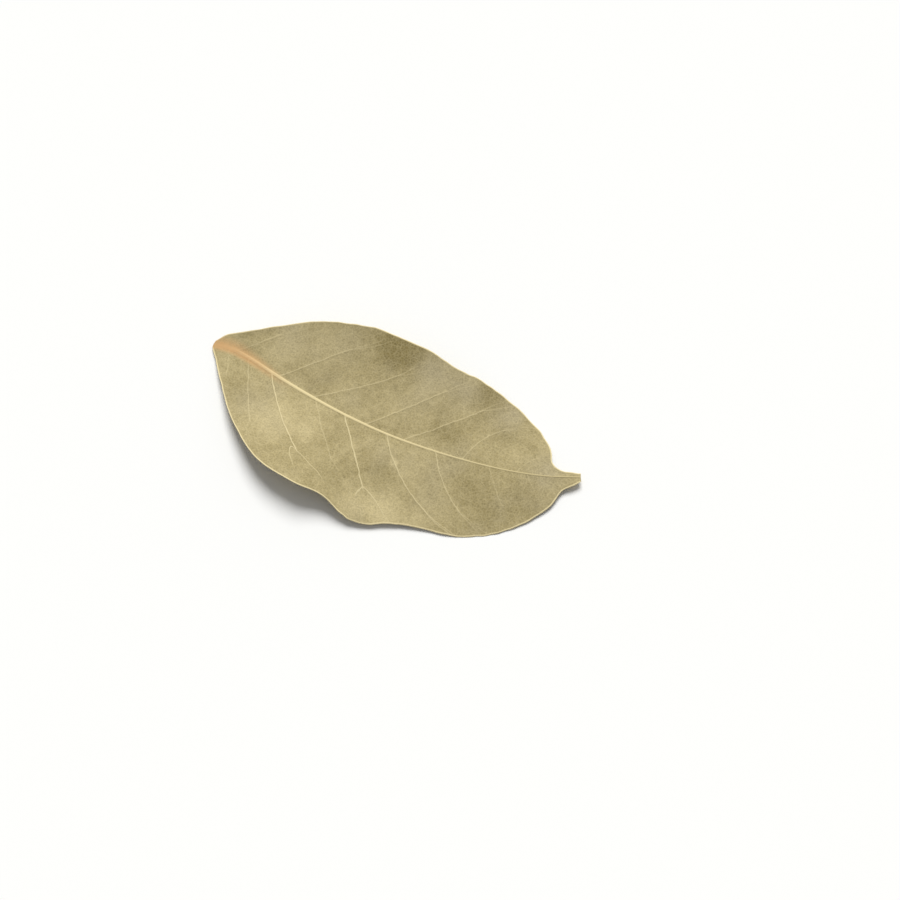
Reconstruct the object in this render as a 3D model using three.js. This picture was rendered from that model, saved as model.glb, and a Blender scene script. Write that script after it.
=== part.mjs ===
// A dried bay leaf lying with its matt underside up, in millimetres.
// The drawing frame counts X along the leaf from the base of the midrib and Y across it. The finished
// leaf is moved so that the origin is the middle of its bounding box, on the surface it lies on.

import * as THREE from "three";

// Driving dimensions
const BLADE_THICKNESS = 0.3;
const MIDRIB_RISE = { base: 0.85, tip: 0.12 }; // above the blade, on the underside
const MIDRIB_KEEL = { base: 0.3, tip: 0.04 }; // below the blade, on the face side
const MIDRIB_HALF_WIDTH = { base: 0.95, tip: 0.35 };
const CUP = 1.35; // how late a half blade rises towards its margin: 1 is straight
const LEAF_COLOR = 0xb3a479;

// Midrib and margins as [x, y, height], from the broken base to the blunt tip
const MIDRIB = [
  [0, 0, 0.7], [4, 0.3, 0.7], [8, -0.3, 0.7], [20, -3.2, 0.9], [32, -5.5, 1.4],
  [44, -6.6, 1.8], [56, -6.3, 1.9], [66, -5.1, 1.6], [74, -3.3, 1.5], [80.3, -1.1, 1.5],
];
const RIGHT_MARGIN = [
  [0.2, -0.8, 0.7], [5, -7.7, 1.8], [11, -15.2, 3.2], [18.6, -21.6, 4.7], [25, -24, 5.5],
  [30, -24.7, 5.3], [33, -24.3, 4.5], [36, -24.8, 3.5], [39, -26.1, 2.4], [42, -26.5, 1.6],
  [45, -25.9, 1.2], [48, -24.4, 1.2], [54, -22.8, 0.9], [60.4, -22, 0.5], [67.5, -19.1, 0.4],
  [73.4, -13.9, 0.7], [76.9, -8.7, 1], [77.9, -4.9, 1.3], [79.4, -3.6, 1.5], [80.6, -2, 1.6],
];
const LEFT_MARGIN = [
  [0.1, 0.8, 0.7], [1.4, 2.7, 1], [4, 4.1, 1.4], [11, 7.5, 2.6], [19, 10.6, 4.2],
  [26, 12.8, 4.9], [31, 13.9, 4.4], [38, 13.4, 4.6], [43, 12.7, 5], [50, 11.5, 3.5],
  [53.5, 11.6, 2.6], [60, 10.2, 1.3], [66, 7.8, 0.5], [71, 4.5, 0.5], [73.1, 2, 0.9],
  [73.9, 0.1, 1.1], [75.8, -1, 1.3], [80, -0.3, 1.5],
];

// Side veins as [x where one leaves the midrib, x where it meets the margin, bow towards the base]
const RIGHT_VEINS = [
  [0, 0.2, 0], [8, 19, 0.04], [13.5, 38, 0.05], [31.5, 45.5, 0], [41, 61, 0.07],
  [51.5, 66.5, 0.04], [62.5, 71.5, 0], [80.3, 80.6, 0],
];
const LEFT_VEINS = [
  [0, 0.1, 0], [5, 18, 0], [14.5, 34, 0], [23.5, 46, -0.02], [36, 53.5, -0.02],
  [44.5, 61, -0.02], [57, 68, 0.13], [68, 73.3, 0.1], [80.3, 80, 0],
];

// Mesh density
const ROWS = 72; // cross rows from base to tip, each laid along the side veins
const ACROSS = [0, 0.035, 0.1, 0.2, 0.32, 0.45, 0.58, 0.71, 0.83, 0.93, 1]; // share of a half blade
const CURVE_STEPS = 800;
const ROW_WEIGHT = { midrib: 0.2, margin: 0.4 }; // how rows share out midrib and margin lengths

// A smooth line through points, with lookups by length share and by x
class Line {
  constructor(points) {
    const vectors = points.map(([x, y, z]) => new THREE.Vector3(x, y, z));
    this.curve = new THREE.CatmullRomCurve3(vectors, false, "centripetal");
    this.curve.arcLengthDivisions = CURVE_STEPS;
    this.samples = this.curve.getSpacedPoints(CURVE_STEPS);
    this.end = points.at(-1)[0];
  }

  shareAtX(x) {
    const next = this.samples.findIndex((p) => p.x >= x);
    if (next <= 0) {
      return next === 0 ? 0 : 1;
    }
    const before = this.samples[next - 1].x;
    return (next - 1 + (x - before) / (this.samples[next].x - before)) / CURVE_STEPS;
  }

  at(share) {
    return this.curve.getPointAt(THREE.MathUtils.clamp(share, 0, 1));
  }

  atX(x) {
    return this.at(this.shareAtX(x));
  }
}

// Straight-line reading of rows [key, value, ...] at a key
function readTable(table, key, column) {
  const next = Math.max(1, table.findIndex((row) => row[0] >= key));
  const [low, high] = [table[next - 1], table[next]];
  return THREE.MathUtils.mapLinear(key, low[0], high[0], low[column], high[column]);
}

const midrib = new Line(MIDRIB);

// One half of the blade, on the right (side -1) or left (side 1) of the midrib
function makeHalf(side, marginPoints, veins) {
  const margin = new Line(marginPoints);
  const last = veins.length - 1;
  const ends = veins.map(([start, end, bow], i) => {
    const share = i === 0 ? 0 : i === last ? 1 : margin.shareAtX(end);
    return [start, share, bow];
  });
  const height = ({ x, y }) => {
    const [centre, edge] = [midrib.atX(x), margin.atX(x)];
    const out = THREE.MathUtils.clamp((y - centre.y) / (edge.y - centre.y), 0, 1);
    return THREE.MathUtils.lerp(centre.z, edge.z, out ** CUP);
  };
  return {
    marginShare: (start) => readTable(ends, start, 1),
    rib(start) {
      const root = midrib.atX(start);
      const run = margin.at(readTable(ends, start, 1)).sub(root);
      const bow = new THREE.Vector3(run.y, -run.x, 0).multiplyScalar(-side * readTable(ends, start, 2));
      return (t) => {
        const point = root.clone().addScaledVector(run, t).addScaledVector(bow, 4 * t * (1 - t));
        point.z = t < 1 ? height(point) : point.z;
        return point;
      };
    },
  };
}

const rightHalf = makeHalf(-1, RIGHT_MARGIN, RIGHT_VEINS);
const leftHalf = makeHalf(1, LEFT_MARGIN, LEFT_VEINS);

// Starts of the rows on the midrib, spread evenly over the midrib and both margins together
function spreadRows(count) {
  const progress = (start) =>
    ROW_WEIGHT.midrib * (start / midrib.end) +
    ROW_WEIGHT.margin * (rightHalf.marginShare(start) + leftHalf.marginShare(start));
  const starts = Array.from({ length: CURVE_STEPS + 1 }, (_, i) => (midrib.end * i) / CURVE_STEPS);
  const total = progress(midrib.end);
  return Array.from({ length: count + 1 }, (_, row) => {
    const wanted = (total * row) / count;
    return starts.find((start) => progress(start) >= wanted - 1e-9) ?? midrib.end;
  });
}

const rowStarts = spreadRows(ROWS);
const columnShares = [...ACROSS.slice(1).reverse().map((t) => -t), ...ACROSS];
const COLUMNS = columnShares.length - 1;

// The middle surface of the blade, as a grid of ROWS by COLUMNS cells
function makeSheet() {
  const sheet = new THREE.PlaneGeometry(1, 1, COLUMNS, ROWS);
  const position = sheet.attributes.position;
  rowStarts.forEach((start, row) => {
    const [right, left] = [rightHalf.rib(start), leftHalf.rib(start)];
    columnShares.forEach((share, column) => {
      const point = share < 0 ? right(-share) : left(share);
      position.setXYZ(row * (COLUMNS + 1) + column, point.x, point.y, point.z);
    });
  });
  sheet.computeVertexNormals();
  return sheet;
}

// Thickness above or below the middle surface at a place
function reach(upward, row, column, sheet) {
  const along = rowStarts[row] / midrib.end;
  const taper = (size) => THREE.MathUtils.lerp(size.base, size.tip, along ** 0.7);
  const centre = row * (COLUMNS + 1) + ACROSS.length - 1;
  const index = row * (COLUMNS + 1) + column;
  const here = new THREE.Vector3().fromBufferAttribute(sheet.attributes.position, index);
  const rib = new THREE.Vector3().fromBufferAttribute(sheet.attributes.position, centre);
  const offset = here.distanceTo(rib) / taper(MIDRIB_HALF_WIDTH);
  const ridge = Math.max(0, 1 - offset) * taper(upward ? MIDRIB_RISE : MIDRIB_KEEL);
  return BLADE_THICKNESS / 2 + ridge;
}

// The closed leaf: a box whose top and bottom follow the sheet
function makeLeaf() {
  const sheet = makeSheet();
  const upSign = Math.sign(sheet.attributes.normal.getZ(0));
  const leaf = new THREE.BoxGeometry(ROWS, COLUMNS, 1, ROWS, COLUMNS, 1);
  const position = leaf.attributes.position;
  for (let i = 0; i < position.count; i += 1) {
    const row = Math.round(position.getX(i) + ROWS / 2);
    const column = Math.round(position.getY(i) + COLUMNS / 2);
    const upward = position.getZ(i) > 0;
    const index = row * (COLUMNS + 1) + column;
    const point = new THREE.Vector3().fromBufferAttribute(sheet.attributes.position, index);
    const normal = new THREE.Vector3().fromBufferAttribute(sheet.attributes.normal, index);
    const sign = upward ? upSign : -upSign;
    point.addScaledVector(normal, sign * reach(upward, row, column, sheet));
    position.setXYZ(i, point.x, point.y, point.z);
  }
  return leaf;
}

// Moves a geometry so that the bottom centre of its box is the origin
function standOnOrigin(geometry) {
  geometry.computeBoundingBox();
  const { min, max } = geometry.boundingBox;
  geometry.translate(-(min.x + max.x) / 2, -(min.y + max.y) / 2, -min.z);
  geometry.computeVertexNormals();
  return geometry;
}

const leafMaterial = new THREE.MeshStandardMaterial({
  color: LEAF_COLOR,
  roughness: 0.75,
  metalness: 0,
});
const bayLeaf = new THREE.Mesh(standOnOrigin(makeLeaf()), leafMaterial);
bayLeaf.name = "bay_leaf";

const part = new THREE.Group();
part.add(bayLeaf);

export default part;
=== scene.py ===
import math
from bisect import bisect_left

import bpy
import bmesh
import numpy as np
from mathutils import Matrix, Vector, noise
from mathutils.kdtree import KDTree


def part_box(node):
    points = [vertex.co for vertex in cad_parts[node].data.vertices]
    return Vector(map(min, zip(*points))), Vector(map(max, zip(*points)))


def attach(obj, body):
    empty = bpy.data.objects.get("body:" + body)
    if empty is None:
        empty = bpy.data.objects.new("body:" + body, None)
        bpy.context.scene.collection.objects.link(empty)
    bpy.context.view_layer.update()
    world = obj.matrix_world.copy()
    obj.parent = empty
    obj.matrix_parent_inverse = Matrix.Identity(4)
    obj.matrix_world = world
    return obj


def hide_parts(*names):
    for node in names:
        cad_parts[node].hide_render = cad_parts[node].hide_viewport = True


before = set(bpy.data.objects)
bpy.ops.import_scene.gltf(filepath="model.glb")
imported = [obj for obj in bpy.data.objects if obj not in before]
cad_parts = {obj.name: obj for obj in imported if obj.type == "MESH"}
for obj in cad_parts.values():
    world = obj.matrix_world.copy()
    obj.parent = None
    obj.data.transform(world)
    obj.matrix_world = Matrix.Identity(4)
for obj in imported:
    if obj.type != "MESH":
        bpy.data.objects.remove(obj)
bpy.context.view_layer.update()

# A dried bay leaf lying with its matt underside up.
# Lengths are in millimetres and are turned into metres as they are used. The leaf is drawn with X along
# it from the base of the midrib and Y across it, and is then moved onto the place of its CAD node.
MM = 0.001

# Driving dimensions, those of the solid but for a slight bulge of the left margin near the base
BLADE_THICKNESS = 0.3
CUP = 1.35  # how late a half blade rises towards its margin: 1 is straight

# Midrib and margins as (x, y, height), from the broken base to the blunt tip
MIDRIB = [
    (0, 0, 0.7), (4, 0.3, 0.7), (8, -0.3, 0.7), (20, -3.2, 0.9), (32, -5.5, 1.4),
    (44, -6.6, 1.8), (56, -6.3, 1.9), (66, -5.1, 1.6), (74, -3.3, 1.5), (80.3, -1.1, 1.5),
]
RIGHT_MARGIN = [
    (0.2, -0.8, 0.7), (5, -7.7, 1.8), (11, -15.2, 3.2), (18.6, -21.6, 4.7), (25, -24, 5.5),
    (30, -24.7, 5.3), (33, -24.3, 4.5), (36, -24.8, 3.5), (39, -26.1, 2.4), (42, -26.5, 1.6),
    (45, -25.9, 1.2), (48, -24.4, 1.2), (54, -22.8, 0.9), (60.4, -22, 0.5), (67.5, -19.1, 0.4),
    (73.4, -13.9, 0.7), (76.9, -8.7, 1), (77.9, -4.9, 1.3), (79.4, -3.6, 1.5), (80.6, -2, 1.6),
]
LEFT_MARGIN = [
    (0.1, 0.8, 0.7), (1.4, 2.7, 1), (4, 4.1, 1.4), (11, 7.7, 2.6), (18.5, 11, 4.2),
    (26, 12.8, 4.9), (31, 13.9, 4.4), (38, 13.4, 4.6), (43, 12.7, 5), (50, 11.5, 3.5),
    (53.5, 11.6, 2.6), (60, 10.2, 1.3), (66, 7.8, 0.5), (71, 4.5, 0.5), (73.1, 2, 0.9),
    (73.9, 0.1, 1.1), (75.8, -1, 1.3), (80, -0.3, 1.5),
]

# Side veins as (x where one leaves the midrib, x where it meets the margin, bow towards the base)
RIGHT_COURSES = [
    (0, 0.2, 0), (8, 19, 0.02), (13.5, 38, 0.07), (31.5, 45.5, 0), (41, 61, 0.1),
    (51.5, 66.5, 0.1), (62.5, 71.5, 0.03), (80.3, 80.6, 0),
]
LEFT_COURSES = [
    (0, 0.1, 0), (5, 18, 0), (15.3, 34.5, 0), (23.5, 46, -0.035), (36, 53.5, -0.025),
    (44.5, 61, -0.025), (57, 68, 0.13), (68, 73.3, 0.1), (80.3, 80, 0),
]
# The veins seen on those courses as (x on the midrib, strength, share of the half blade where it forks,
# and how far its two branches lean from the course: more than 0 to the tip, less than 0 to the base)
RIGHT_VEINS = [
    (0, 0, 0.5, 0, 0), (3.5, 0.3, 0.5, 0.3, -0.3), (8, 0.5, 0.62, 0.3, -0.3),
    (13.5, 1, 0.58, 0.65, -1.1), (24.5, 0.35, 0.5, 0.3, -0.4), (31.5, 1, 0.67, 0.9, -0.9),
    (41, 0.75, 0.76, 0.15, 0), (51.5, 0.6, 0.7, 0.35, 0), (62.5, 0.34, 0.6, 0.2, -0.5),
    (70, 0.2, 0.6, 0.3, -0.4), (80.3, 0, 0.5, 0, 0),
]
LEFT_VEINS = [
    (0, 0, 0.5, 0, 0), (5, 0.35, 0.55, 0.4, -0.3), (15.3, 0.62, 0.62, 0.35, 0.1),
    (23.5, 0.6, 0.66, 0.4, -0.2), (36, 0.55, 0.7, 0.4, 0), (44.5, 0.55, 0.74, 0.4, -0.1),
    (57, 0.42, 0.64, 0.4, 0.1), (68, 0.25, 0.6, 0.4, -0.3), (80.3, 0, 0.5, 0, 0),
]

# Relief on the blade: rises on the underside, which lies up, and keels on the face side
MIDRIB_RISE = (0.2, 0.08)  # at the base and at the tip
MIDRIB_ONSET = (0, 0.12)  # shares of the length between which it rises from the flat base
MIDRIB_KEEL = (0.26, 0.04)
MIDRIB_HALF_WIDTH = (0.95, 0.2)
MIDRIB_TAPER = 0.4  # how early it thins on the way to the tip: 1 is evenly
VEIN_RISE = 0.08
VEIN_KEEL = 0.04
VEIN_HALF_WIDTH = 0.3
VEIN_OVERRUN = 1  # how far past its fork a side vein dies out
BRANCH_ONSET = (-0.5, 0.5)  # distances past the fork between which its two branches begin
BRANCH_REACH = 12  # how far they run
BRANCH_BEND = 0.15  # how soon they turn back along the vein
BRANCH_STRENGTH = 0.9  # beside that of the strongest vein; weaker veins have weaker branches still
VEIN_ROOM = (1, 0.85)  # shares of the way to the middle of two veins where their relief fades in
MARGIN_RISE = 0.03
MARGIN_WIDTH = 0.4
MARGIN_WAVER = 0.22  # how far the outline strays from its smooth line
MARGIN_WAVER_SIZE = 1.6
QUILTING = 0.22  # how far the blade sinks between two side veins
CRUMPLE = 0.24  # of the whole blade
CRUMPLE_SIZE = 9
CRUMPLE_SPREAD = 4  # how near to the margin it stays strong
RIPPLE = 0.36  # of the margins only
RIPPLE_SIZE = 3.6
RIPPLE_CLOSENESS = 6  # how near to the margin it begins
RIM_ROUNDING = 0.16  # how far in from the margin the blade begins to thin towards its rim
RIM_THICKNESS = 0.3  # of the blade's, at the very rim
FILM = 0.002  # thickness at which the sheet is doubled, before its two sides are moved apart

# Paler and darker patches as (x, y, radius, strength): partly the dry blade's own blotches and partly
# painted light and painted shade where the curl faces towards or away from the light, as the dark ones
# near the left margin
TONE_AND_LIGHT_PATCHES = [
    (18.8, -10.6, 3.6, 0.45), (25.5, -12.2, 2.2, 0.5), (35.5, -11.4, 2.4, 0.1), (33, -17, 3, -0.15),
    (44.7, -11.8, 0.6, 1.4), (45.6, -22.5, 3.4, 0.7), (39.5, -22.8, 2.8, 0.4), (52, -22, 3, 0.2),
    (66.6, -0.7, 2.6, 0.3), (10, -9, 3.5, -0.3), (21, -15, 2.6, 0.45), (22, 8, 4, 0.35),
    (37.2, 12.2, 4.8, -1.6), (57.4, 9.2, 3.4, -0.9), (72.3, -10.8, 3.4, -0.4), (14, 4, 3.5, 0.6),
    (42, -14.5, 3, -0.45), (70.6, -2.6, 4, -0.15), (66, -14.5, 4, -0.4), (52, -2, 4, -0.3),
    (59, -9, 4.5, -0.3), (44, 6, 3.5, 0.2), (63, 2.5, 3, -0.35), (29, -12, 2.5, -0.15),
]

# Places with a painted grey sheen, in the same way
SHEEN_PATCHES = [
    (15, 6.5, 4, 0.5), (26, 9, 4, 0.4), (45, 10, 4, 0.8), (52, 8, 4, 0.8), (62, 6, 3.5, 0.8),
    (73.5, -3, 4, 0.8), (12, -10, 3.5, 0.5),
]

# Mesh density
ROWS = 88  # cells from base to tip, laid along the side veins
HALF_COLUMNS = 16  # cells from midrib to margin
CROWDING = 0.65  # how much closer columns lie at the midrib and the margin
SUBDIVISIONS = 2
SMOOTH_ANGLE = 50
ROW_WEIGHT_MIDRIB = 0.2  # how rows share out the lengths of midrib and margins
ROW_WEIGHT_MARGIN = 0.4
START_STEPS = 1200  # at which the starts of rows are looked up
MARGIN_STEPS = 6000  # at which distances from a margin are looked up
ON_MARGIN = 1 - 1e-5  # share of a half blade from which a point is on its margin
TINY = 1e-6  # keeps a length that is divided by from being 0

# Camera and light
CAMERA_AZIMUTH = 21.6
CAMERA_ELEVATION = 64
CAMERA_DISTANCE = 425
CAMERA_TARGET = Vector((13.4, 2.0, -0.2))
CAMERA_LENS = 85
CAMERA_CLIP_START = 0.01  # in metres, as is the floor's size
FLOOR_SIZE = 4
SUN_AZIMUTH = 198
SUN_ELEVATION = 52
SUN_SPREAD = 35
SUN_STRENGTH = 3.2
SKY_STRENGTH = 0.3

# Markings of both sides, as distances or shares between which they fade in
LINE_EDGE = (0.16, 0.06)  # of a side vein, from its middle
LINE_OVERRUN = 1.2
LINE_ONSET = (-0.3, 0.3)  # of a branch, past its fork
LINE_ROOM = (0.95, 0.8)
LINE_WANDER = 0.7  # how far a side vein strays from its course, in long and in short bends
LINE_WANDER_SIZE = 3
LINE_JITTER = 0.2
LINE_JITTER_SIZE = 0.6
CREST_EDGE = (0.75, 0.35)  # of the pale midrib, as shares of its half width
MARGIN_LINE = (0.34, 0.12)
MARGIN_UNEVENNESS = 0.25
MARGIN_UNEVEN_SIZE = 2.5
COARSE_NET = 1.7  # width of its meshes
FINE_NET = 0.55

# Finish of the underside
CLOUD_SIZE = 6
CLOUD_CONTRAST = 0.8
MOTTLE_SIZE = 1.6
MOTTLE_CONTRAST = 0.7
SPECKLE_SIZE = 0.35
SPECKLE_CONTRAST = 1.12
BLOOM_SIZE = 10  # of the grey bloom that lies anywhere
BLOOM_STRENGTH = 0.25
MEAN_TONE = 0.43
TONES = (-0.3, 1.1)  # tones that are the dark and the pale olive
COARSE_NET_STRENGTH = 0.1
FINE_NET_STRENGTH = 0.14
VEIN_PALENESS = 0.8
TAN_MIDRIB = (0.4, 0.95)  # shares of the length between which the cream midrib turns tan
STAIN_WIDTH = 3.2  # reach of the pink stain to the left of the midrib at the base
STAIN_NARROWING = 11  # how much of that is lost over the whole length
STAIN_RIGHT = (-1.7, -0.3)
STAIN_LENGTH = (0.25, 0.08)
STAIN_STRENGTH = 0.1  # where it is weakest

# Finish of the face side
FACE_CLOUD_SIZE = 8
FACE_CLOUD = (0.3, 0.7)
FACE_SPECKLE_SIZE = 0.5
FACE_SPECKLE_CONTRAST = 0.28
FACE_NET_STRENGTH = 0.12
FACE_VEIN_PALENESS = 0.6
FACE_STAIN_LEFT = (1.8, 0.3)
FACE_STAIN_RIGHT = (-1.8, -0.3)
FACE_STAIN_LENGTH = (0.2, 0.03)
FACE_STAIN_STRENGTH = 0.6

# Finish of the rim
RIM_BLOTCH_SIZE = 1.5
FIBRE_SIZE = 0.15
FIBRES = (0.35, 0.65)
BREAK_END = (0.004, 0.001)  # shares of the length between which the break at the base ends


def rgb(red, green, blue):
    """A colour as the eye reads it, from 0 to 255, turned into light."""
    values = [value / 255 for value in (red, green, blue)]
    return (*[v / 12.92 if v <= 0.04045 else ((v + 0.055) / 1.055) ** 2.4 for v in values], 1)


# Colours of the dry leaf
DARK_OLIVE = rgb(129, 115, 71)
PALE_OLIVE = rgb(191, 176, 131)
VEIN_STRAW = rgb(218, 203, 158)
MIDRIB_CREAM = rgb(226, 209, 160)
MIDRIB_TAN = rgb(194, 179, 134)
MARGIN_CREAM = rgb(232, 216, 168)
BLUSH = rgb(204, 160, 108)
GREY = rgb(168, 157, 128)
FACE_DARK = rgb(138, 121, 64)
FACE_PALE = rgb(176, 158, 98)
BREAK_BROWN = rgb(158, 116, 74)
FLOOR_COLOR = rgb(244, 244, 242)


class Line:
    """A smooth line through points, with lookups by length share and by x."""

    STEPS = 60

    def __init__(self, points):
        points = [Vector(p) for p in points]
        before = 2 * points[0] - points[1]
        after = 2 * points[-1] - points[-2]
        points = [before, *points, after]
        self.samples = []
        for p0, p1, p2, p3 in zip(points, points[1:], points[2:], points[3:]):
            self.samples += self.stretch(p0, p1, p2, p3)
        self.samples.append(points[-2])
        steps = [(b - a).length for a, b in zip(self.samples, self.samples[1:])]
        self.lengths = [0, *np.cumsum(steps)]
        self.xs = [p.x for p in self.samples]

    def stretch(self, p0, p1, p2, p3):
        """Points from p1 up to p2 on a centripetal Catmull-Rom curve."""
        d0, d1, d2 = [math.sqrt((b - a).length) for a, b in ((p0, p1), (p1, p2), (p2, p3))]
        leave = ((p1 - p0) / d0 - (p2 - p0) / (d0 + d1) + (p2 - p1) / d1) * d1
        arrive = ((p2 - p1) / d1 - (p3 - p1) / (d1 + d2) + (p3 - p2) / d2) * d1
        cubic = 2 * p1 - 2 * p2 + leave + arrive
        square = 3 * p2 - 3 * p1 - 2 * leave - arrive
        shares = [step / self.STEPS for step in range(self.STEPS)]
        return [((cubic * t + square) * t + leave) * t + p1 for t in shares]

    def read(self, keys, key):
        """The point where keys, which grow along the line, pass key."""
        after = min(max(bisect_left(keys, key), 1), len(keys) - 1)
        low, high = keys[after - 1], keys[after]
        share = min(max((key - low) / max(high - low, TINY), 0), 1)
        return self.samples[after - 1].lerp(self.samples[after], share)

    def at(self, share):
        return self.read(self.lengths, share * self.lengths[-1])

    def at_x(self, x):
        return self.read(self.xs, x)

    def share_at_x(self, x):
        return float(np.interp(x, self.xs, self.lengths)) / self.lengths[-1]


midrib = Line(MIDRIB)
LENGTH = MIDRIB[-1][0]


class Half:
    """One half of the blade, on the right (side -1) or the left (side 1) of the midrib."""

    def __init__(self, side, margin_points, courses, veins):
        self.side = side
        self.margin = Line(margin_points)
        self.starts = [start for start, _, _ in courses]
        self.ends = [self.margin.share_at_x(end) for _, end, _ in courses]
        self.ends[0], self.ends[-1] = 0, 1
        self.bows = [bow for _, _, bow in courses]
        self.veins = np.array(veins, float)

    def margin_share(self, start):
        return float(np.interp(start, self.starts, self.ends))

    def phase(self, starts):
        """Side veins passed on the way from the base: a whole number on a vein."""
        return np.interp(starts, self.veins[:, 0], range(len(self.veins)))

    def height(self, point):
        centre, edge = midrib.at_x(point.x), self.margin.at_x(point.x)
        out = (point.y - centre.y) / (edge.y - centre.y)
        return centre.z + (edge.z - centre.z) * min(max(out, 0), 1) ** CUP

    def point(self, start, share):
        """The place at a share of the way from midrib to margin, along the side vein from start."""
        root = midrib.at_x(start)
        end = self.margin.at(self.margin_share(start))
        waver = end / MARGIN_WAVER_SIZE
        end += Vector((noise.noise(waver), noise.noise(-waver), 0)) * MARGIN_WAVER
        run = end - root
        bow = Vector((run.y, -run.x, 0)) * -self.side * float(np.interp(start, self.starts, self.bows))
        place = root + run * share + bow * 4 * share * (1 - share)
        place.z = self.height(place) if share < 1 else end.z
        return place


right_half = Half(-1, RIGHT_MARGIN, RIGHT_COURSES, RIGHT_VEINS)
left_half = Half(1, LEFT_MARGIN, LEFT_COURSES, LEFT_VEINS)


def spread_rows(count):
    """Starts of the rows on the midrib, spread over the midrib and both margins together."""
    starts = np.linspace(0, LENGTH, START_STEPS + 1)
    progress = [
        ROW_WEIGHT_MIDRIB * start / LENGTH
        + ROW_WEIGHT_MARGIN * (right_half.margin_share(start) + left_half.margin_share(start))
        for start in starts
    ]
    return np.interp(np.linspace(0, progress[-1], count + 1), progress, starts)


def column_share(column):
    """Signed share of a half blade at a column: -1 right margin, 0 midrib, 1 left margin."""
    even = (column - HALF_COLUMNS) / HALF_COLUMNS
    return even - CROWDING * np.sin(2 * math.pi * even) / (2 * math.pi)


row_starts = spread_rows(ROWS)


def deselect_all():
    bpy.ops.object.select_all(action="DESELECT")


def apply_modifier(piece, kind, **settings):
    modifier = piece.modifiers.new(kind.title(), kind)
    for name, value in settings.items():
        setattr(modifier, name, value)
    bpy.context.view_layer.objects.active = piece
    bpy.ops.object.modifier_apply(modifier=modifier.name)


def set_field(leaf, name, numbers):
    """Stores one number for each point of the leaf, for its finish to read."""
    field = leaf.data.attributes.get(name) or leaf.data.attributes.new(name, "FLOAT", "POINT")
    field.data.foreach_set("value", np.asarray(numbers, np.float32))


def get_field(leaf, name):
    numbers = np.empty(len(leaf.data.vertices), np.float32)
    leaf.data.attributes[name].data.foreach_get("value", numbers)
    return numbers


def push(leaf, heights):
    """Moves each point of the leaf straight up by its height in millimetres."""
    low, high = float(heights.min()), float(heights.max())
    group = leaf.vertex_groups.new(name="heights")
    for index, share in enumerate((heights - low) / (high - low)):
        group.add([index], float(share), "REPLACE")
    settings = {"direction": "Z", "strength": (high - low) * MM, "vertex_group": group.name}
    apply_modifier(leaf, "DISPLACE", mid_level=-low / (high - low), **settings)
    leaf.vertex_groups.clear()


def vein_gaps(places, phases):
    """Distance across from one side vein to the next at each point of a half's rows."""
    gaps = np.empty(places.shape[:2])
    last = len(places) - 1
    for row in range(last + 1):
        low, high = max(row - 1, 0), min(row + 1, last)
        step = places[high] - places[low]
        rib = np.gradient(places[row], axis=0)
        rib /= np.maximum(np.linalg.norm(rib, axis=1, keepdims=True), TINY)
        across = step - rib * np.sum(step * rib, axis=1, keepdims=True)
        gaps[row] = np.linalg.norm(across, axis=1) / (phases[high] - phases[low])
    return gaps


def make_sheet():
    """The blade's middle surface: a plane grid whose points are pulled onto their places."""
    deselect_all()
    bpy.ops.mesh.primitive_grid_add(
        x_subdivisions=ROWS, y_subdivisions=2 * HALF_COLUMNS, size=LENGTH * MM
    )
    leaf = bpy.context.object
    leaf.name = leaf.data.name = "dried_leaf"
    columns = range(2 * HALF_COLUMNS + 1)
    shares = column_share(np.array(columns))
    places = np.empty((ROWS + 1, len(columns), 3))
    for row, start in enumerate(row_starts):
        for column, share in enumerate(shares):
            half = right_half if share < 0 else left_half
            places[row, column] = half.point(start, abs(share))

    bpy.ops.object.mode_set(mode="EDIT")
    bpy.ops.mesh.select_all(action="DESELECT")
    mesh = bmesh.from_edit_mesh(leaf.data)
    mesh.verts.ensure_lookup_table()
    for index, vertex in enumerate(mesh.verts):
        column, row = divmod(index, ROWS + 1)
        vertex.select = True
        bpy.ops.transform.translate(value=Vector(places[row, column]) * MM - vertex.co)
        vertex.select = False
    bpy.ops.object.mode_set(mode="OBJECT")

    gaps = np.empty(places.shape[:2])
    reaches = np.empty(places.shape[:2])
    right_side = slice(None, HALF_COLUMNS + 1)
    left_side = slice(HALF_COLUMNS, None)
    for half, side, edge in ((right_half, right_side, 0), (left_half, left_side, -1)):
        gaps[:, side] = vein_gaps(places[:, side], half.phase(row_starts))
        run = places[:, edge] - places[:, HALF_COLUMNS]
        reaches[:, side] = np.linalg.norm(run, axis=1)[:, None]
    set_field(leaf, "start", np.tile(row_starts, len(columns)))
    set_field(leaf, "share", np.repeat(shares, ROWS + 1))
    set_field(leaf, "gap", gaps.T.ravel())
    set_field(leaf, "reach", reaches.T.ravel())
    apply_modifier(leaf, "SUBSURF", levels=SUBDIVISIONS, render_levels=SUBDIVISIONS)
    return leaf


def dome(offset):
    """1 at offset 0, falling smoothly to 0 at offset 1."""
    return np.clip(1 - offset**2, 0, 1) ** 2


def ease(low, high, numbers):
    """0 at low and beyond, 1 at high and beyond, smooth between; low may be the larger."""
    share = np.clip((numbers - low) / (high - low), 0, 1)
    return share * share * (3 - 2 * share)


def taper(ends, along):
    """From the first of the ends at 0 along to the second at 1."""
    return ends[0] + (ends[1] - ends[0]) * along


def waves(places, size):
    """Smooth bumps between -1 and 1, about size millimetres across."""
    return np.array([noise.noise(Vector(place) / size) for place in places])


def spots(places, patches):
    """The sum of soft round patches, each given as (x, y, radius, strength)."""
    total = np.zeros(len(places))
    for x, y, size, strength in patches:
        total += strength * np.exp(-((places[:, 0] - x) ** 2 + (places[:, 1] - y) ** 2) / size**2)
    return total


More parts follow.
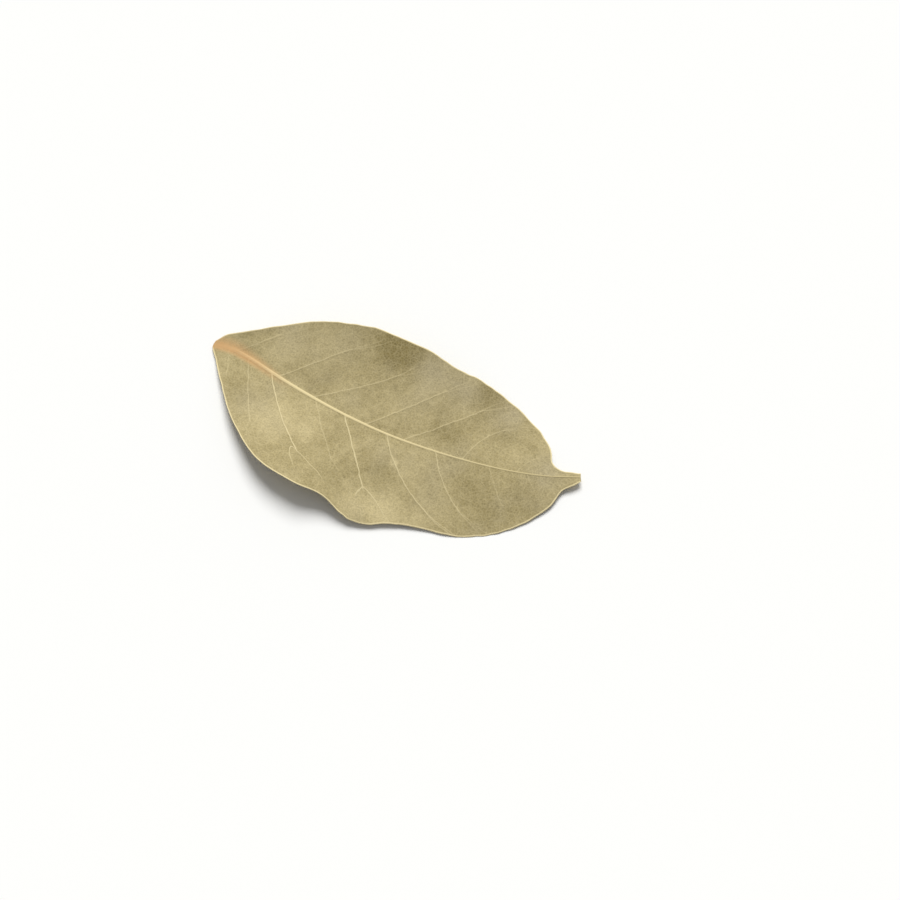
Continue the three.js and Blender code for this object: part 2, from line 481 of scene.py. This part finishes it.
def measure_leaf(leaf):
    """Fields on the sheet that its relief and its finish are made from, in millimetres and shares."""
    places = np.empty(3 * len(leaf.data.vertices))
    leaf.data.vertices.foreach_get("co", places)
    places = places.reshape(-1, 3) / MM
    start, share = get_field(leaf, "start"), get_field(leaf, "share")
    gap, reach = get_field(leaf, "gap"), get_field(leaf, "reach")

    xs, ys = midrib.xs, [point.y for point in midrib.samples]
    slope = np.interp(places[:, 0], xs, np.gradient(ys, xs))
    from_midrib = (places[:, 1] - np.interp(places[:, 0], xs, ys)) / np.hypot(1, slope)

    edges = [share < -ON_MARGIN, share > ON_MARGIN]
    tree = KDTree(MARGIN_STEPS * len(edges))
    for edge in edges:
        order = np.argsort(start[edge])
        steps = np.linspace(0, LENGTH, MARGIN_STEPS)
        points = [np.interp(steps, start[edge][order], places[edge][order, axis]) for axis in range(3)]
        for point in zip(*points):
            tree.insert(point, 0)
    tree.balance()
    from_margin = np.array([tree.find(place)[2] for place in places])

    left = share > 0
    phase = np.where(left, left_half.phase(start), right_half.phase(start))
    nearest = np.round(phase).astype(int)
    veins = np.where(
        left[:, None],
        left_half.veins[np.minimum(nearest, len(left_half.veins) - 1)],
        right_half.veins[np.minimum(nearest, len(right_half.veins) - 1)],
    )
    fields = {
        "along": start / LENGTH,
        "from_midrib": from_midrib,
        "from_margin": from_margin,
        "beside": (phase - nearest) * gap,
        "between": 2 * np.abs(phase - nearest),
        "strength": veins[:, 1],
        "past_fork": (np.abs(share) - veins[:, 2]) * reach,
        "lean_to_tip": veins[:, 3],
        "lean_to_base": veins[:, 4],
        # Partly the blade's own blotches, partly painted light and painted shade
        "blotch_and_light": spots(places, TONE_AND_LIGHT_PATCHES),
        # Painted grey sheen, a reflection painted into the colour
        "grey": spots(places, SHEEN_PATCHES),
    }
    for name, numbers in fields.items():
        set_field(leaf, name, numbers)
    return places, {**fields, "out": np.abs(share), "phase": phase}


def from_branch(beside, past_fork, lean):
    """Distance from a line that leaves a side vein at its fork, leans sideways and bends back."""
    bend = 1 + abs(past_fork) * BRANCH_BEND
    slope = lean / (bend * bend)
    return abs(beside - lean * past_fork / bend) / (1 + slope * slope) ** 0.5


def raise_relief(leaf):
    """Gives the sheet its quilting, crumples, veins and thickened margin, and then its thickness."""
    places, fields = measure_leaf(leaf)
    beside, past_fork, strength = fields["beside"], fields["past_fork"], fields["strength"]
    along, out = fields["along"], fields["out"]
    thinning = along**MIDRIB_TAPER
    crest = dome(fields["from_midrib"] / taper(MIDRIB_HALF_WIDTH, thinning))

    vein = dome(beside / VEIN_HALF_WIDTH) * ease(VEIN_OVERRUN, 0, past_fork)
    for lean in (fields["lean_to_tip"], fields["lean_to_base"]):
        branch = dome(from_branch(beside, past_fork, lean) / VEIN_HALF_WIDTH)
        fade = ease(*BRANCH_ONSET, past_fork) * ease(BRANCH_REACH, 0, past_fork)
        vein = np.maximum(vein, branch * fade * strength * BRANCH_STRENGTH)
    vein *= strength * (1 - crest) * ease(*VEIN_ROOM, fields["between"])

    border = MARGIN_RISE * dome(fields["from_margin"] / MARGIN_WIDTH)
    midrib_rise = taper(MIDRIB_RISE, thinning) * crest * ease(*MIDRIB_ONSET, along)
    rise = midrib_rise + VEIN_RISE * vein + border
    keel = taper(MIDRIB_KEEL, thinning) * crest + VEIN_KEEL * vein + border
    inwards = np.clip(fields["from_margin"] / RIM_ROUNDING, 0, 1)
    rounding = RIM_THICKNESS + (1 - RIM_THICKNESS) * np.sqrt(1 - (1 - inwards) ** 2)

    hollow = np.sin(math.pi * fields["phase"]) ** 2 * np.sin(math.pi * out)
    crumple = CRUMPLE * waves(places, CRUMPLE_SIZE) * (1 - out**CRUMPLE_SPREAD)
    ripple = RIPPLE * waves(places, RIPPLE_SIZE) * out**RIPPLE_CLOSENESS
    push(leaf, crumple + ripple - QUILTING * hollow)
    slots = {"material_offset": 1, "material_offset_rim": 2}
    apply_modifier(leaf, "SOLIDIFY", thickness=FILM * MM, offset=0, **slots)
    still = np.zeros(len(places))
    push(leaf, np.concatenate([(BLADE_THICKNESS / 2 + rise) * rounding, still]))
    push(leaf, np.concatenate([still, -(BLADE_THICKNESS / 2 + keel) * rounding]))


def place_on_node(piece, node):
    """Moves a finished mesh so that its box stands on the node's box, its lowest point on the floor."""
    low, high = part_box(node)
    corners = [Vector(corner) for corner in piece.bound_box]
    own_low = Vector(map(min, *corners))
    own_high = Vector(map(max, *corners))
    shift = (low + high) / 2 - (own_low + own_high) / 2
    shift.z = low.z - own_low.z
    deselect_all()
    piece.select_set(True)
    bpy.ops.transform.translate(value=shift)
    bpy.ops.object.transform_apply(location=True, rotation=True, scale=True)


class Value:
    """A number or a colour that varies over a surface, as one output of a finish's nodes."""

    def __init__(self, finish, socket):
        self.finish = finish
        self.socket = socket

    def math(self, operation, *others):
        return self.finish.math(operation, self, *others)

    def __add__(self, other):
        return self.math("ADD", other)

    def __sub__(self, other):
        return self.math("SUBTRACT", other)

    def __rsub__(self, other):
        return self.finish.math("SUBTRACT", other, self)

    def __mul__(self, other):
        return self.math("MULTIPLY", other)

    def __truediv__(self, other):
        return self.math("DIVIDE", other)

    def __rtruediv__(self, other):
        return self.finish.math("DIVIDE", other, self)

    def __pow__(self, other):
        return self.math("POWER", other)

    def __abs__(self):
        return self.math("ABSOLUTE")

    __radd__ = __add__
    __rmul__ = __mul__

    def ramp(self, low, high):
        """0 at low and beyond, 1 at high and beyond, smooth between; low may be the larger."""
        return self.finish.node(
            "ShaderNodeMapRange",
            {"interpolation_type": "SMOOTHSTEP"},
            {"Value": self, "From Min": low, "From Max": high},
        )


class Finish:
    """A material built from expressions on values."""

    def __init__(self, name, **constants):
        self.material = bpy.data.materials.new(name)
        self.material.use_nodes = True
        self.nodes = self.material.node_tree.nodes
        self.links = self.material.node_tree.links
        self.surface = self.nodes["Principled BSDF"]
        self.set(self.surface, constants)

    def set(self, node, inputs):
        for name, value in inputs.items():
            if isinstance(value, Value):
                self.links.new(value.socket, node.inputs[name])
            else:
                node.inputs[name].default_value = value

    def node(self, kind, settings, inputs, output=0):
        """Adds a node, makes its settings, then fills its sockets, and returns one output."""
        node = self.nodes.new(kind)
        for name, value in settings.items():
            setattr(node, name, value)
        self.set(node, inputs)
        return Value(self, node.outputs[output])

    def math(self, operation, *numbers):
        return self.node("ShaderNodeMath", {"operation": operation}, dict(enumerate(numbers)))

    def mix(self, share, first, second):
        """The colour a share of the way from the first to the second."""
        colors = {"Factor": share, 6: first, 7: second}
        return self.node("ShaderNodeMix", {"data_type": "RGBA"}, colors, output=2)

    def brighten(self, color, factor):
        """The colour with its brightness multiplied."""
        inputs = {0: color, "Scale": factor}
        return self.node("ShaderNodeVectorMath", {"operation": "SCALE"}, inputs)

    def field(self, name):
        return self.node("ShaderNodeAttribute", {"attribute_name": name}, {}, output="Fac")

    def place(self):
        return self.node("ShaderNodeTexCoord", {}, {}, output="Object")

    def noise(self, size, detail=2, roughness=0.5):
        """Cloudy noise from 0 to 1 whose grains are about size millimetres wide."""
        inputs = {"Vector": self.place(), "Scale": 1 / (size * MM)}
        inputs.update({"Detail": detail, "Roughness": roughness})
        return self.node("ShaderNodeTexNoise", {}, inputs)

    def net(self, size, waver):
        """Distance from the lines of an irregular net with meshes about size millimetres wide."""
        inputs = {"Vector": self.place(), "Scale": 1 / (size * MM)}
        shift = self.node("ShaderNodeTexNoise", {}, inputs, output="Color")
        bent = self.node(
            "ShaderNodeVectorMath", {"operation": "MULTIPLY_ADD"},
            {0: shift, 1: (waver * size * MM,) * 3, 2: self.place()},
        )
        inputs = {"Vector": bent, "Scale": 1 / (size * MM)}
        return self.node("ShaderNodeTexVoronoi", {"feature": "DISTANCE_TO_EDGE"}, inputs) * size

    def bump(self, strength, height):
        """Normals bent by a height in millimetres."""
        inputs = {"Strength": strength, "Distance": MM, "Height": height}
        return self.node("ShaderNodeBump", {}, inputs, output="Normal")

    def finish(self, **inputs):
        """Fills the shader's sockets, named with _ for a space, and returns the material."""
        self.set(self.surface, {name.replace("_", " "): value for name, value in inputs.items()})
        return self.material


def vein_lines(finish):
    """How strongly a place is on a side vein or on a branch of one."""
    wander = (finish.noise(LINE_WANDER_SIZE) - 0.5) * LINE_WANDER
    jitter = (finish.noise(LINE_JITTER_SIZE) - 0.5) * LINE_JITTER
    beside, past_fork = finish.field("beside") + wander + jitter, finish.field("past_fork")
    strength = finish.field("strength")
    vein = abs(beside).ramp(*LINE_EDGE) * past_fork.ramp(LINE_OVERRUN, 0)
    for lean in (finish.field("lean_to_tip"), finish.field("lean_to_base")):
        branch = from_branch(beside, past_fork, lean).ramp(*LINE_EDGE)
        fade = past_fork.ramp(*LINE_ONSET) * past_fork.ramp(BRANCH_REACH, 0)
        vein = vein.math("MAXIMUM", branch * fade * strength * BRANCH_STRENGTH)
    return vein * strength * finish.field("between").ramp(*LINE_ROOM)


def crest_share(finish):
    """1 on top of the midrib, falling to 0 at its foot."""
    half_width = taper(MIDRIB_HALF_WIDTH, finish.field("along") ** MIDRIB_TAPER)
    return (abs(finish.field("from_midrib")) / half_width).ramp(*CREST_EDGE)


def margin_line(finish):
    """How much of the pale horny border shows at a place."""
    uneven = finish.noise(MARGIN_UNEVEN_SIZE, detail=4, roughness=0.7)
    edge = finish.field("from_margin") + (uneven - 0.5) * MARGIN_UNEVENNESS
    return edge.ramp(*MARGIN_LINE) * (0.5 + uneven)


def make_underside():
    """Matt grey-olive underside with pale veins, a cream margin and a pink base."""
    finish = Finish("leaf_underside", **{"Specular IOR Level": 0.2})
    from_midrib, along, blotch_and_light = [finish.field(name) for name in ("from_midrib", "along", "blotch_and_light")]

    cloud = finish.noise(CLOUD_SIZE, detail=4, roughness=0.6)
    mottle = finish.noise(MOTTLE_SIZE, detail=3, roughness=0.6)
    speckle = finish.noise(SPECKLE_SIZE, detail=3, roughness=0.7)
    clouds = (cloud - 0.5) * CLOUD_CONTRAST + (mottle - 0.5) * MOTTLE_CONTRAST
    # The patches lighten and darken the tone: partly the blade's own blotches, partly painted light and
    # painted shade
    tone = clouds + blotch_and_light * (0.4 + cloud * 0.8) + MEAN_TONE
    color = finish.mix(tone.ramp(*TONES), DARK_OLIVE, PALE_OLIVE)
    bloom = finish.noise(BLOOM_SIZE).ramp(0.5, 0.75) * BLOOM_STRENGTH
    # A grey bloom that lies anywhere, and painted grey sheen at the sheen patches
    color = finish.mix(bloom + finish.field("grey") * (0.3 + mottle * 0.6), color, GREY)
    color = finish.brighten(color, 1 + (speckle - 0.5) * SPECKLE_CONTRAST)

    coarse_net = finish.net(COARSE_NET, 0.5).ramp(0.12, 0.03) * COARSE_NET_STRENGTH
    net = coarse_net + finish.net(FINE_NET, 0.4).ramp(0.12, 0.02) * FINE_NET_STRENGTH
    color = finish.mix(net, color, VEIN_STRAW)
    veins = vein_lines(finish)
    color = finish.mix(veins * VEIN_PALENESS, color, VEIN_STRAW)

    crest = crest_share(finish) * along.ramp(*MIDRIB_ONSET)
    color = finish.mix(crest, color, finish.mix(along.ramp(*TAN_MIDRIB), MIDRIB_CREAM, MIDRIB_TAN))
    color = finish.mix(margin_line(finish), color, MARGIN_CREAM)

    stain = from_midrib.ramp(STAIN_WIDTH - along * STAIN_NARROWING, 0) * from_midrib.ramp(*STAIN_RIGHT)
    stain *= along.ramp(*STAIN_LENGTH)
    color = finish.mix(stain * (STAIN_STRENGTH + cloud * 0.6 + speckle * 0.8), color, BLUSH)

    bump = finish.bump(0.7, net * -0.05 + veins * 0.03 + speckle * 0.06 + cloud * 0.1)
    return finish.finish(Base_Color=color, Roughness=0.66 + speckle * 0.2, Normal=bump)


def make_face():
    """The other side of the leaf: browner and smoother, its veins level with the blade."""
    finish = Finish("leaf_face", **{"Specular IOR Level": 0.45})
    from_midrib, along = finish.field("from_midrib"), finish.field("along")
    cloud = finish.noise(FACE_CLOUD_SIZE, detail=4, roughness=0.6)
    speckle = finish.noise(FACE_SPECKLE_SIZE, detail=3, roughness=0.7)
    color = finish.mix(cloud.ramp(*FACE_CLOUD), FACE_DARK, FACE_PALE)
    color = finish.brighten(color, 1 + (speckle - 0.5) * FACE_SPECKLE_CONTRAST)

    net = finish.net(COARSE_NET, 0.5).ramp(0.14, 0.03) + finish.net(FINE_NET, 0.4).ramp(0.12, 0.02)
    net *= FACE_NET_STRENGTH
    color = finish.mix(net + vein_lines(finish) * FACE_VEIN_PALENESS, color, VEIN_STRAW)
    color = finish.mix(crest_share(finish), color, MIDRIB_TAN)
    stain = from_midrib.ramp(*FACE_STAIN_LEFT) * from_midrib.ramp(*FACE_STAIN_RIGHT)
    color = finish.mix(stain * along.ramp(*FACE_STAIN_LENGTH) * FACE_STAIN_STRENGTH, color, BLUSH)
    color = finish.mix(margin_line(finish), color, MARGIN_CREAM)

    bump = finish.bump(0.6, net * 0.03 + speckle * 0.04 + cloud * 0.1)
    return finish.finish(Base_Color=color, Roughness=0.42 + speckle * 0.2, Normal=bump)


def make_rim():
    """The pale horny edge of the blade, and the brown break at its base."""
    finish = Finish("leaf_rim", **{"Specular IOR Level": 0.3})
    color = finish.mix(finish.noise(RIM_BLOTCH_SIZE, detail=3), MARGIN_CREAM, VEIN_STRAW)
    fibres = finish.noise(FIBRE_SIZE, detail=3, roughness=0.7).ramp(*FIBRES)
    broken = finish.field("along").ramp(*BREAK_END)
    color = finish.mix(broken, color, finish.mix(fibres, BREAK_BROWN, BLUSH))
    return finish.finish(Base_Color=color, Roughness=0.6)


def direction(azimuth, elevation):
    """The way from the leaf to a camera or a light, and the turn that makes it face the leaf."""
    azimuth, elevation = math.radians(azimuth), math.radians(elevation)
    level = math.cos(elevation)
    back = Vector((math.sin(azimuth) * level, -math.cos(azimuth) * level, math.sin(elevation)))
    return back, (-back).to_track_quat("-Z", "Y").to_euler()


def add_camera():
    """Looks down on the leaf from its right, as the photograph does."""
    back, turn = direction(CAMERA_AZIMUTH, CAMERA_ELEVATION)
    bpy.ops.object.camera_add(location=(CAMERA_TARGET + back * CAMERA_DISTANCE) * MM, rotation=turn)
    camera = bpy.context.object
    camera.data.lens = CAMERA_LENS
    camera.data.clip_start = CAMERA_CLIP_START
    bpy.context.scene.camera = camera


def add_stage():
    """A plain pale floor under a pale sky, with a soft light from above and behind."""
    bpy.ops.mesh.primitive_plane_add(size=FLOOR_SIZE)
    floor = bpy.context.object
    floor.name = "floor"
    paper = {"Base Color": FLOOR_COLOR, "Roughness": 0.9, "Specular IOR Level": 0.1}
    floor.data.materials.append(Finish("floor_paper", **paper).material)
    back, turn = direction(SUN_AZIMUTH, SUN_ELEVATION)
    bpy.ops.object.light_add(type="SUN", location=back, rotation=turn)
    light = bpy.context.object.data
    light.angle = math.radians(SUN_SPREAD)
    light.energy = SUN_STRENGTH
    world = bpy.data.worlds.new("studio")
    world.use_nodes = True
    sky = world.node_tree.nodes["Background"].inputs
    sky["Color"].default_value = (1, 1, 1, 1)
    sky["Strength"].default_value = SKY_STRENGTH
    bpy.context.scene.world = world
    bpy.context.scene.view_settings.view_transform = "Standard"


add_camera()
add_stage()
leaf = make_sheet()
for material in (make_underside(), make_face(), make_rim()):
    leaf.data.materials.append(material)
raise_relief(leaf)
deselect_all()
leaf.select_set(True)
bpy.ops.object.shade_smooth_by_angle(angle=math.radians(SMOOTH_ANGLE))
place_on_node(leaf, "bay_leaf")

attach(leaf, "root")
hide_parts("bay_leaf")
